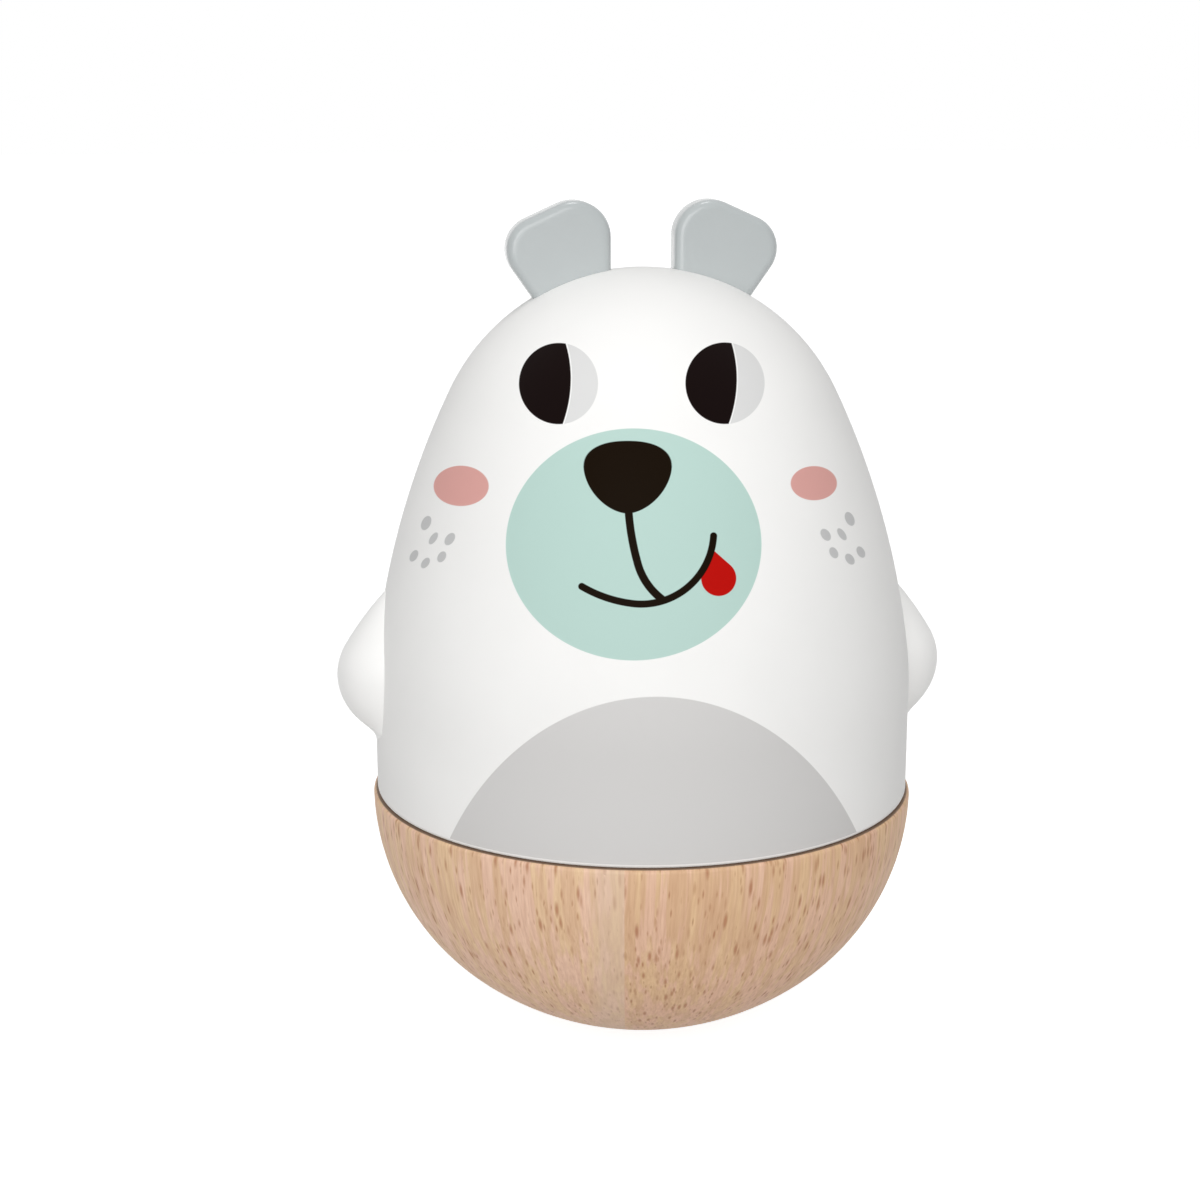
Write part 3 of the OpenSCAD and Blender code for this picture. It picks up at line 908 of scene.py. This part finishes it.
def base_shape(sizes):
    """Half-ball with its round bottom, foot, spigot and pocket."""
    bm = bmesh.new()
    rocker_z = sqrt(sizes.rocker_r ** 2 - (sizes.foot_d / 2) ** 2)
    side_x = sizes.base_r - sizes.side_r
    side_turn = atan2(rocker_z - SEAM_Z, side_x)
    foot_turn = acos(sizes.foot_d / 2 / sizes.rocker_r)
    ledge_z = SEAM_Z + sizes.spigot_h
    pen = pen_down(bm, 0, 0)
    pen = line_to(bm, pen, sizes.foot_d / 2, 0)
    pen = arc_by(bm, pen, (0, rocker_z), foot_turn - side_turn, steps=24)
    edge_turn = atan2(sizes.edge_r, sizes.side_r)
    pen = arc_by(bm, pen, (side_x, SEAM_Z), side_turn - edge_turn, steps=20)
    pen = arc_by(bm, pen, (pen.co.x - sizes.edge_r, pen.co.z), pi / 2, steps=5)
    pen = line_to(bm, pen, sizes.spigot_r, SEAM_Z)
    pen = line_to(bm, pen, sizes.spigot_r, ledge_z - sizes.spigot_chamfer)
    pen = line_to(bm, pen, sizes.spigot_r - sizes.spigot_chamfer, ledge_z)
    pen = line_to(bm, pen, sizes.cover_r, ledge_z)
    pen = line_to(bm, pen, sizes.cover_r, ledge_z - sizes.cover_t)
    pen = line_to(bm, pen, sizes.pocket_r, ledge_z - sizes.cover_t)
    pen = line_to(bm, pen, sizes.pocket_r, sizes.pocket_floor)
    line_to(bm, pen, 0, sizes.pocket_floor)
    turn_on_lathe(bm)
    return bm


def tangent_turn(one, one_r, other, other_r):
    """Direction of the line that touches two circles on the left side of the way from one to the other."""
    away = atan2(other[1] - one[1], other[0] - one[0])
    return away + acos((one_r - other_r) / hypot(other[0] - one[0], other[1] - one[1]))


def ear_shape(sizes, shell):
    """Right ear: a plate with two round corners and rounded edges, cut where it is let into the crown."""
    bm = bmesh.new()
    top = SEAM_Z + shell.height
    inner = (sizes.gap + sizes.inner_r, top + sizes.rise - sizes.inner_r)
    outer = (inner[0] + sizes.span, inner[1] - sizes.drop)
    root_z = top - sizes.root
    root_x = outer[0] + (sizes.outer_r - sizes.root_r) / cos(sizes.flare)
    root = (root_x - (outer[1] - root_z) * tan(sizes.flare), root_z)
    brow = tangent_turn(inner, sizes.inner_r, outer, sizes.outer_r)
    flank = tangent_turn(outer, sizes.outer_r, root, sizes.root_r)
    first = pen_down(bm, sizes.gap, root_z)
    pen = line_to(bm, first, sizes.gap, inner[1])
    pen = arc_by(bm, pen, inner, brow - pi, steps=16)
    pen = line_to(bm, pen, outer[0] + sizes.outer_r * cos(brow), outer[1] + sizes.outer_r * sin(brow))
    pen = arc_by(bm, pen, outer, flank - brow, steps=20)
    pen = line_to(bm, pen, root[0] + sizes.root_r * cos(flank), root[1] + sizes.root_r * sin(flank))
    bm.edges.new((pen, first))
    face = bmesh.ops.contextual_create(bm, geom=bm.edges[:])["faces"]
    bmesh.ops.translate(bm, vec=(0, -sizes.thickness / 2, 0), verts=bm.verts)
    raised = bmesh.ops.extrude_face_region(bm, geom=face, use_keep_orig=True)["geom"]
    bmesh.ops.translate(
        bm, vec=(0, sizes.thickness, 0), verts=[v for v in raised if isinstance(v, bmesh.types.BMVert)]
    )
    bmesh.ops.recalc_face_normals(bm, faces=bm.faces)
    rims = [e for e in bm.edges if abs(e.verts[0].co.y - e.verts[1].co.y) < WELD]
    bmesh.ops.bevel(
        bm, geom=rims, offset=sizes.edge_r, offset_type="OFFSET", affect="EDGES",
        segments=6, profile=0.5, material=-1,
    )
    plates = [f for f in bm.faces if abs(abs(f.normal.y) - 1) < LEVEL]
    bmesh.ops.inset_individual(bm, faces=plates, thickness=PLATE_RING)
    bmesh.ops.translate(bm, vec=(0, sizes.back, 0), verts=bm.verts)
    seat = Vector((sin(sizes.seat_turn), 0, cos(sizes.seat_turn)))
    crown = Vector((0, 0, top - shell.crown_r))
    cut_flat(bm, crown + seat * (shell.crown_r - sizes.seat_depth), seat)
    return bm


def arm_shape(sizes, shell):
    """Right arm: a drop turned on its own axis, with a hollow under it, cut where it is let into the wall."""
    bm = bmesh.new()
    axis_x = shell.wall_r + sizes.out - sizes.ball_r
    ball = (axis_x, SEAM_Z + sizes.ball_z)
    reach = sizes.ball_r - sizes.taper_r
    taper = (ball[0] + reach * cos(sizes.taper_turn), ball[1] + reach * sin(sizes.taper_turn))
    tip_turn = acos((axis_x - taper[0]) / sizes.taper_r)
    wall = shell.wall_r - axis_x
    hollow_x = wall + sizes.fillet_r
    hollow_z = -sqrt((sizes.ball_r + sizes.fillet_r) ** 2 - hollow_x ** 2)
    hollow_turn = atan2(-hollow_z, hollow_x)
    pen = pen_down(bm, axis_x, taper[1] + sizes.taper_r * sin(tip_turn))
    pen = arc_by(bm, pen, taper, sizes.taper_turn - tip_turn, steps=14)
    pen = arc_by(bm, pen, ball, -hollow_turn - sizes.taper_turn, steps=24)
    pen = arc_by(bm, pen, (axis_x + hollow_x, ball[1] + hollow_z), hollow_turn, steps=8)
    line_to(bm, pen, axis_x, ball[1] + hollow_z)
    turn_on_lathe(bm, axis_x)
    # Below the ball's middle the arm is widened, so that its edge on the wall runs down as half an ellipse
    full = sqrt(sizes.ball_r ** 2 - wall ** 2)
    for vert in bm.verts:
        drop = min((ball[1] - vert.co.z) / -hollow_z, 1.0)
        if drop > 0:
            away = hypot(vert.co.x - axis_x, vert.co.y)
            round_half = sqrt(max(away ** 2 - wall ** 2, WELD ** 2))
            vert.co.y *= min(max(full * sqrt(1 - drop ** 2) / round_half, 1.0), sizes.fillet_spread)
    cut_flat(bm, (shell.wall_r - sizes.seat_depth, 0, 0), (1, 0, 0))
    return bm


# Operators, one for each piece or pair and one for the stage

class ROLY_OT_base(bpy.types.Operator):
    """Turns the beech base"""
    bl_idname = "roly.base"
    bl_label = "Turn Base"

    def execute(self, context):
        scene = context.scene
        bm = base_shape(scene.roly_base)
        finish = turned_beech(scene.roly_colours, scene.roly_base, scene.roly_print.turn)
        finish_piece(bm, "beech_base", "wooden_base", finish)
        return {"FINISHED"}


class ROLY_OT_shell(bpy.types.Operator):
    """Makes the hollow body with its printed face"""
    bl_idname = "roly.shell"
    bl_label = "Make Shell"

    def execute(self, context):
        scene = context.scene
        bm = shell_shape(scene.roly_shell)
        finish = printed_shell(scene.roly_colours, scene.roly_print)
        finish_piece(bm, "printed_shell", "body_shell", finish)
        return {"FINISHED"}


class ROLY_OT_ears(bpy.types.Operator):
    """Makes both plate ears"""
    bl_idname = "roly.ears"
    bl_label = "Make Ears"

    def execute(self, context):
        scene = context.scene
        paint = plain_satin("grey ear paint", scene.roly_colours.ear, sheen=0.34, varnish=1.0)
        finish_pair(ear_shape, scene.roly_ear, "_plate_ear", "_ear", paint)
        return {"FINISHED"}


class ROLY_OT_arms(bpy.types.Operator):
    """Makes both drop arms"""
    bl_idname = "roly.arms"
    bl_label = "Make Arms"

    def execute(self, context):
        scene = context.scene
        paint = plain_satin("white arm paint", scene.roly_colours.arm, sheen=0.38)
        finish_pair(arm_shape, scene.roly_arm, "_drop_arm", "_arm", paint)
        return {"FINISHED"}


class ROLY_OT_inside(bpy.types.Operator):
    """Finishes the weight, the cover, the washers and the screws inside"""
    bl_idname = "roly.inside"
    bl_label = "Finish Inside"

    def execute(self, context):
        colours = context.scene.roly_colours
        finishes = {
            "weight_steel": bare_metal("turned steel", colours.steel, pitch=9000.0, rough=0.34),
            "zinc_steel": bare_metal("zinc plate", colours.zinc, pitch=4000.0, rough=0.26),
            "plywood": birch_ply(),
        }
        for part in frame["record"]["subparts"]:
            finish = finishes.get(part["material_slot"])
            if finish:
                materials = frame["nodes"][part["node"]].data.materials
                materials.clear()
                materials.append(finish)
        return {"FINISHED"}


def face_towards(thing, at, aim):
    """Puts a lamp or a camera in its place and points it."""
    thing.location = at
    thing.rotation_euler = (Vector(aim) - Vector(at)).to_track_quat("-Z", "Y").to_euler()


def add_lamp(name, watts, width, at, aim):
    """A square soft lamp that points at a place."""
    lamp = bpy.data.lights.new(name, "AREA")
    lamp.energy = watts
    lamp.size = width
    face_towards(add_object(name, lamp), at, aim)


def seen_rays(desk):
    """1 for rays that show the backdrop itself, straight, mirrored or through glass, and 0 for its light."""
    path = desk.put("LightPath").outputs
    mirrored = desk.math("MAXIMUM", path["Is Glossy Ray"], path["Is Transmission Ray"])
    return desk.math("MAXIMUM", path["Is Camera Ray"], mirrored)


class ROLY_OT_stage(bpy.types.Operator):
    """Sets the floor, the lamps and the camera"""
    bl_idname = "roly.stage"
    bl_label = "Set Stage"

    def execute(self, context):
        scene = context.scene
        sizes = scene.roly_stage
        self.floor(sizes, scene.roly_colours)
        self.sky(scene, sizes)
        add_lamp("key lamp", sizes.key_power, sizes.key_width, sizes.key_at, sizes.lamp_aim)
        add_lamp("top lamp", sizes.top_power, sizes.top_width, sizes.top_at, sizes.lamp_aim)
        lens = bpy.data.cameras.new("camera")
        lens.lens = sizes.lens
        lens.clip_start = sizes.clip_start
        camera = add_object("camera", lens)
        face_towards(camera, sizes.camera_at, sizes.camera_aim)
        scene.camera = camera
        scene.view_settings.view_transform = "Standard"
        return {"FINISHED"}

    def floor(self, sizes, colours):
        """Plain pale floor, with a glow that makes it white."""
        bm = bmesh.new()
        bmesh.ops.create_grid(bm, x_segments=1, y_segments=1, size=sizes.floor / 2)
        finish, desk, shader = open_finish("floor white")
        desk.feed_all(shader, {
            "Base Color": tint(colours.floor),
            "Roughness": 0.9,
            "Specular IOR Level": 0.0,
            "Emission Color": tint(colours.backdrop),
            "Emission Strength": desk.math("MULTIPLY", seen_rays(desk), sizes.floor_lift),
        })
        floor = add_mesh(bm, "floor", finish)

    def sky(self, scene, sizes):
        """White behind the toy, with a soft dome of light that is strongest from the front and left."""
        sky = bpy.data.worlds.new("studio")
        sky.use_nodes = True
        scene.world = sky
        desk = NodeDesk(sky.node_tree)
        light = sky.node_tree.nodes["Background"]
        white = tint(scene.roly_colours.backdrop)
        level = cos(sizes.dome_rise)
        middle = (-level * sin(sizes.dome_turn), -level * cos(sizes.dome_turn), sin(sizes.dome_rise))
        way = desk.put("TexCoord").outputs["Generated"]
        ahead = desk.vector("DOT_PRODUCT", desk.vector("NORMALIZE", way), middle)
        glow = desk.ramp(ahead, sizes.dome_start, sizes.dome_full, sizes.ambient, sizes.dome)
        desk.feed_all(light.inputs, {"Color": white, "Strength": glow})
        shown = desk.put("Background", {"Color": white, "Strength": 1.0})
        layers = {0: seen_rays(desk), 1: light.outputs[0], 2: shown.outputs[0]}
        both = desk.put("MixShader", layers)
        desk.feed(sky.node_tree.nodes["World Output"].inputs["Surface"], both.outputs[0])


GROUPS = {
    "roly_shell": ShellSizes,
    "roly_base": BaseSizes,
    "roly_ear": EarSizes,
    "roly_arm": ArmSizes,
    "roly_colours": Colours,
    "roly_print": PrintSizes,
    "roly_stage": StageSizes,
}
STEPS = (ROLY_OT_base, ROLY_OT_shell, ROLY_OT_ears, ROLY_OT_arms, ROLY_OT_inside, ROLY_OT_stage)


class ROLY_PT_panel(bpy.types.Panel):
    """Sizes, colours and steps of the toy"""
    bl_idname = "ROLY_PT_panel"
    bl_label = "Roly Poly Toy"
    bl_space_type = "VIEW_3D"
    bl_region_type = "UI"
    bl_category = "Roly Poly"

    def draw(self, context):
        for step in STEPS:
            self.layout.operator(step.bl_idname)
        for name, group in GROUPS.items():
            box = self.layout.box()
            box.label(text=group.__doc__)
            for prop in group.__annotations__:
                box.prop(getattr(context.scene, name), prop)


def register():
    """Registers the sizes, the operators and the panel."""
    for group in GROUPS.values():
        bpy.utils.register_class(group)
    for step in STEPS:
        bpy.utils.register_class(step)
    bpy.utils.register_class(ROLY_PT_panel)
    for name, group in GROUPS.items():
        setattr(bpy.types.Scene, name, PointerProperty(type=group))


def unregister():
    """Takes the panel, the operators and the sizes away again."""
    for name in GROUPS:
        delattr(bpy.types.Scene, name)
    bpy.utils.unregister_class(ROLY_PT_panel)
    for step in reversed(STEPS):
        bpy.utils.unregister_class(step)
    for group in reversed(GROUPS.values()):
        bpy.utils.unregister_class(group)


def main():
    """Registers the panel, makes the whole toy and sets its stage."""
    register()
    bpy.ops.roly.base()
    bpy.ops.roly.shell()
    bpy.ops.roly.ears()
    bpy.ops.roly.arms()
    bpy.ops.roly.inside()
    bpy.ops.roly.stage()


if __name__ == "__main__":
    main()
